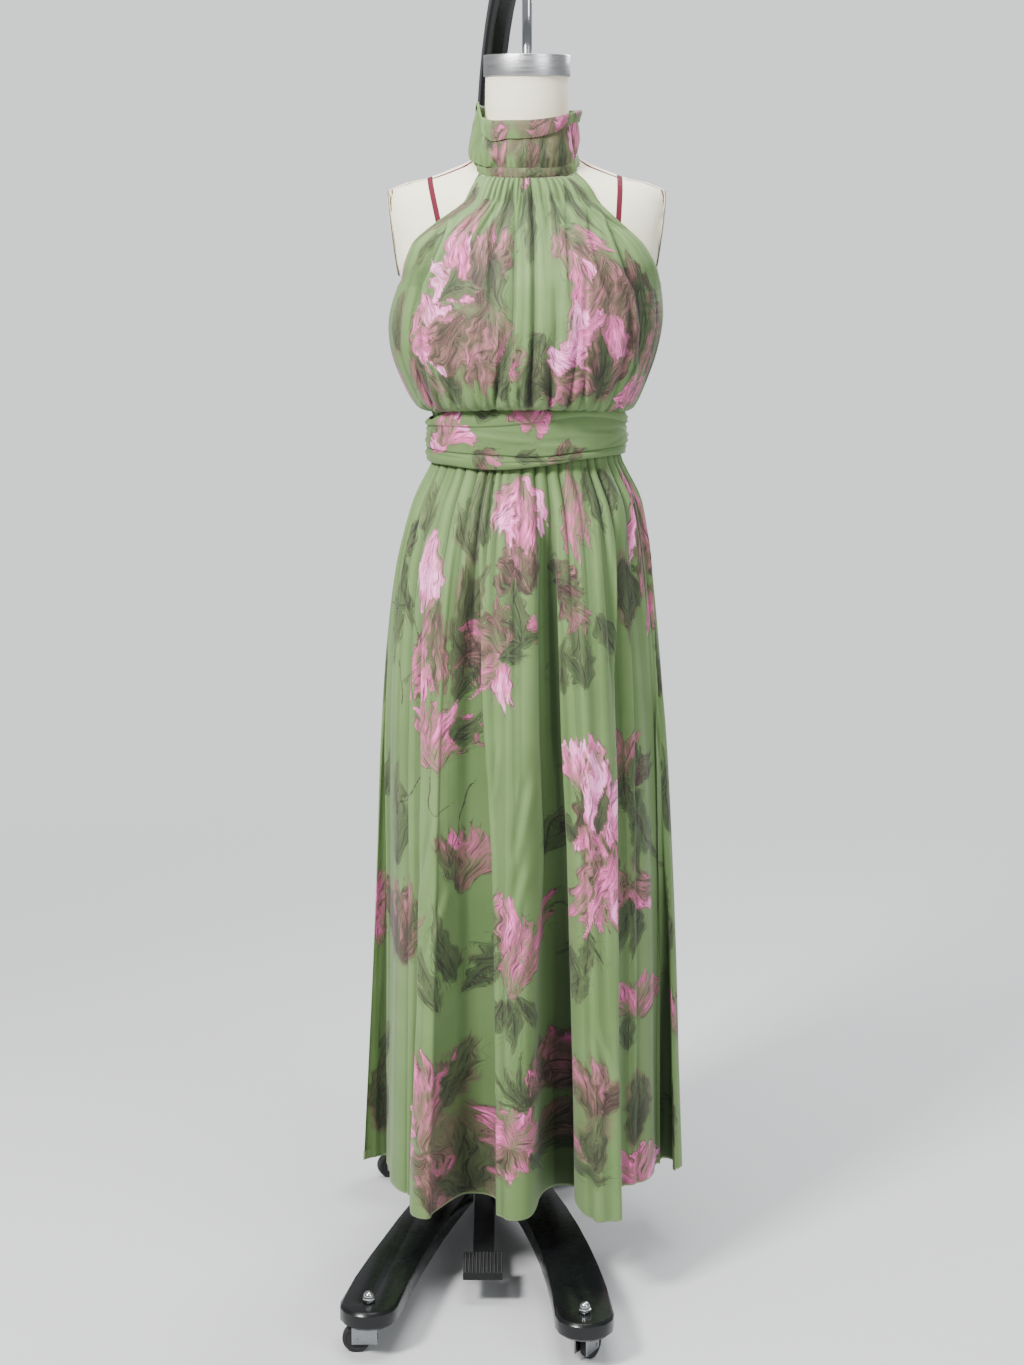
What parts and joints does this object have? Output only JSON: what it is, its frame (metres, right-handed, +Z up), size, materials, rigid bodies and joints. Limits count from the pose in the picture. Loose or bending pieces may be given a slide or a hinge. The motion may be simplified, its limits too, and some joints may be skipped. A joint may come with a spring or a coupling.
{
  "type": "maxi dress on a dress form",
  "caption": "Sleeveless high-neck maxi dress in floral chiffon with a sash, on a limbless dress form hung from a wheeled overhead stand.",
  "frame": {"origin": "middle of the footprint, on the floor", "axes": "+Z up, the wearer's front faces -Y, +X to the viewer's right"},
  "size_m": [0.4746, 0.697, 1.847],
  "materials": {
    "chiffon": "matte",
    "linen": "matte",
    "brushed_cap": "satin",
    "chrome_rod": "polished",
    "steel_fork": "polished",
    "black_paint": "satin",
    "wheel_rubber": "matte"
  },
  "bodies": {
    "base_frame": {"base": "black_paint", "upright_fixed": "black_paint", "upright_socket": "black_paint", "nut_front_left": "chrome_rod", "nut_front_right": "chrome_rod", "nut_rear_left": "chrome_rod", "nut_rear_right": "chrome_rod"},
    "raised": {"upright_sliding": "black_paint", "gantry_arm": "black_paint", "hanging_rod": "chrome_rod", "neck_cap": "brushed_cap", "form": "linen", "armhole_plate_left": "linen", "armhole_plate_right": "linen", "front_bodice": "chiffon", "back_bodice": "chiffon", "neckband": "chiffon", "collar": "chiffon", "button_1": "chiffon", "button_2": "chiffon", "sash": "chiffon", "front_skirt": "chiffon", "back_skirt": "chiffon"},
    "pedal": {"pedal": "black_paint"},
    "fork_front_left": {"fork_front_left": "steel_fork"},
    "wheel_front_left": {"wheel_front_left": "wheel_rubber"},
    "fork_front_right": {"fork_front_right": "steel_fork"},
    "wheel_front_right": {"wheel_front_right": "wheel_rubber"},
    "fork_rear_left": {"fork_rear_left": "steel_fork"},
    "wheel_rear_left": {"wheel_rear_left": "wheel_rubber"},
    "fork_rear_right": {"fork_rear_right": "steel_fork"},
    "wheel_rear_right": {"wheel_rear_right": "wheel_rubber"}
  },
  "joints": [
    {"name": "height_slide", "type": "slide", "parent": "base_frame", "child": "raised", "axis": [0, 0, 1], "range_m": [0, 0.2]},
    {"name": "pedal_press", "type": "hinge", "parent": "base_frame", "child": "pedal", "pos_m": [-0.04902, 0.17497, 0.052], "axis": [1, 0, 0], "range_deg": [0, 6], "stiffness_Nm_per_rad": 12, "springref_deg": -8.59},
    {"name": "swivel_front_left", "type": "hinge", "parent": "base_frame", "child": "fork_front_left", "pos_m": [-0.19902, -0.27903, 0.045], "axis": [0, 0, 1], "continuous": true},
    {"name": "roll_front_left", "type": "hinge", "parent": "fork_front_left", "child": "wheel_front_left", "pos_m": [-0.21602, -0.27903, 0.019], "axis": [0, -1, 0], "continuous": true},
    {"name": "swivel_front_right", "type": "hinge", "parent": "base_frame", "child": "fork_front_right", "pos_m": [0.08698, -0.31003, 0.045], "axis": [0, 0, 1], "continuous": true},
    {"name": "roll_front_right", "type": "hinge", "parent": "fork_front_right", "child": "wheel_front_right", "pos_m": [0.09548, -0.29531, 0.019], "axis": [-0.866, 0.5, 0], "continuous": true},
    {"name": "swivel_rear_left", "type": "hinge", "parent": "base_frame", "child": "fork_rear_left", "pos_m": [-0.18402, 0.30997, 0.045], "axis": [0, 0, 1], "continuous": true},
    {"name": "roll_rear_left", "type": "hinge", "parent": "fork_rear_left", "child": "wheel_rear_left", "pos_m": [-0.2, 0.30416, 0.019], "axis": [0.342, -0.9397, 0], "continuous": true},
    {"name": "swivel_rear_right", "type": "hinge", "parent": "base_frame", "child": "fork_rear_right", "pos_m": [0.09598, 0.30997, 0.045], "axis": [0, 0, 1], "continuous": true},
    {"name": "roll_rear_right", "type": "hinge", "parent": "fork_rear_right", "child": "wheel_rear_right", "pos_m": [0.11195, 0.31579, 0.019], "axis": [-0.342, 0.9397, 0], "continuous": true}
  ]
}
